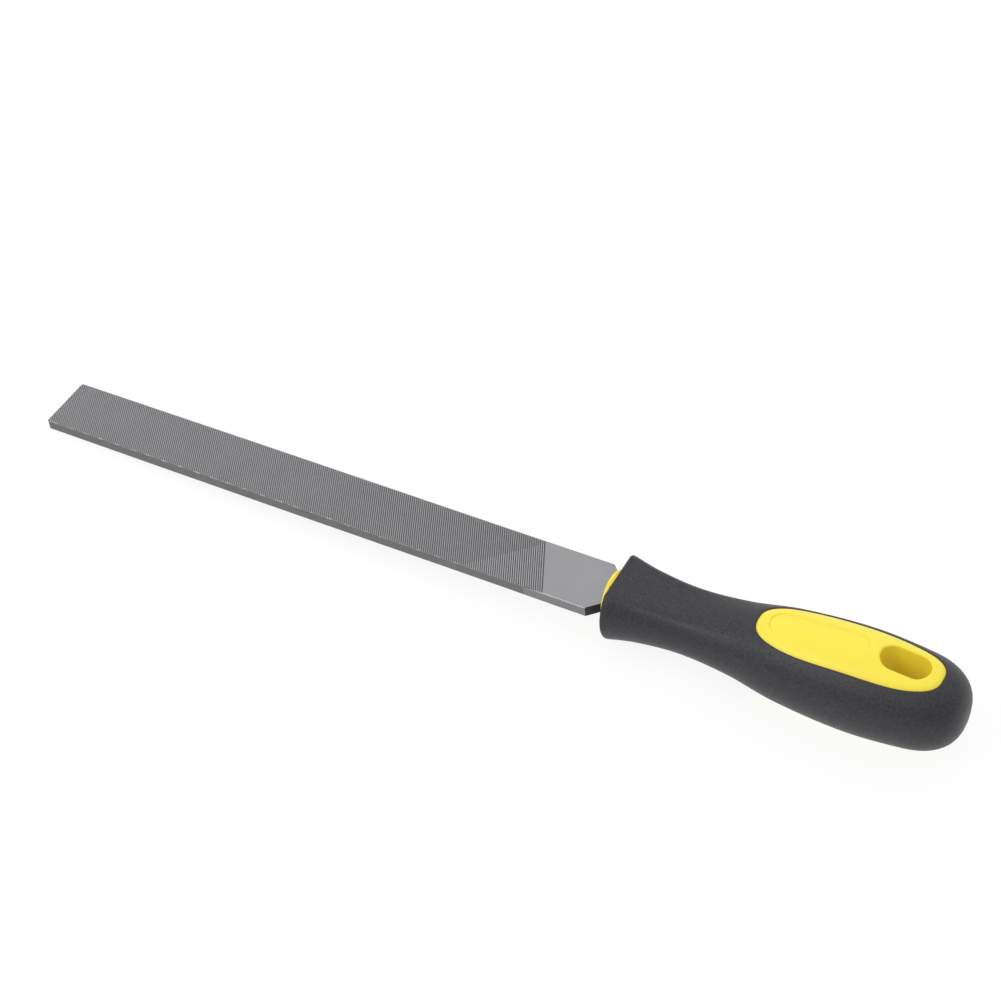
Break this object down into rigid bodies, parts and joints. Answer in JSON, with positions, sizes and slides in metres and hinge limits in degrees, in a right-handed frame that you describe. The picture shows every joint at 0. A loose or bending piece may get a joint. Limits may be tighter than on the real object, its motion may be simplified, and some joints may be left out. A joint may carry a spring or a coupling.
{
  "type": "flat file",
  "caption": "Flat double-cut hand file for metal, with a smooth heel and a round two-material handle that has a hanging hole.",
  "frame": {"origin": "under the middle of the file's length, on its centre plane, level with the lowest point of the handle's belly", "axes": "+X along the file from the blade's tip to the handle's butt, +Y across the blade, +Z square to the working faces"},
  "size_m": [0.3204, 0.0316, 0.0317],
  "materials": {
    "cut_steel": "bare hardened steel, cut teeth and a ground heel",
    "yellow_plastic": "satin moulded plastic",
    "dark_rubber": "matte soft-touch elastomer with a fine grain"
  },
  "bodies": {
    "root": {"file_blade": "cut_steel", "handle_core": "yellow_plastic", "grip_sleeve": "dark_rubber"}
  },
  "joints": []
}
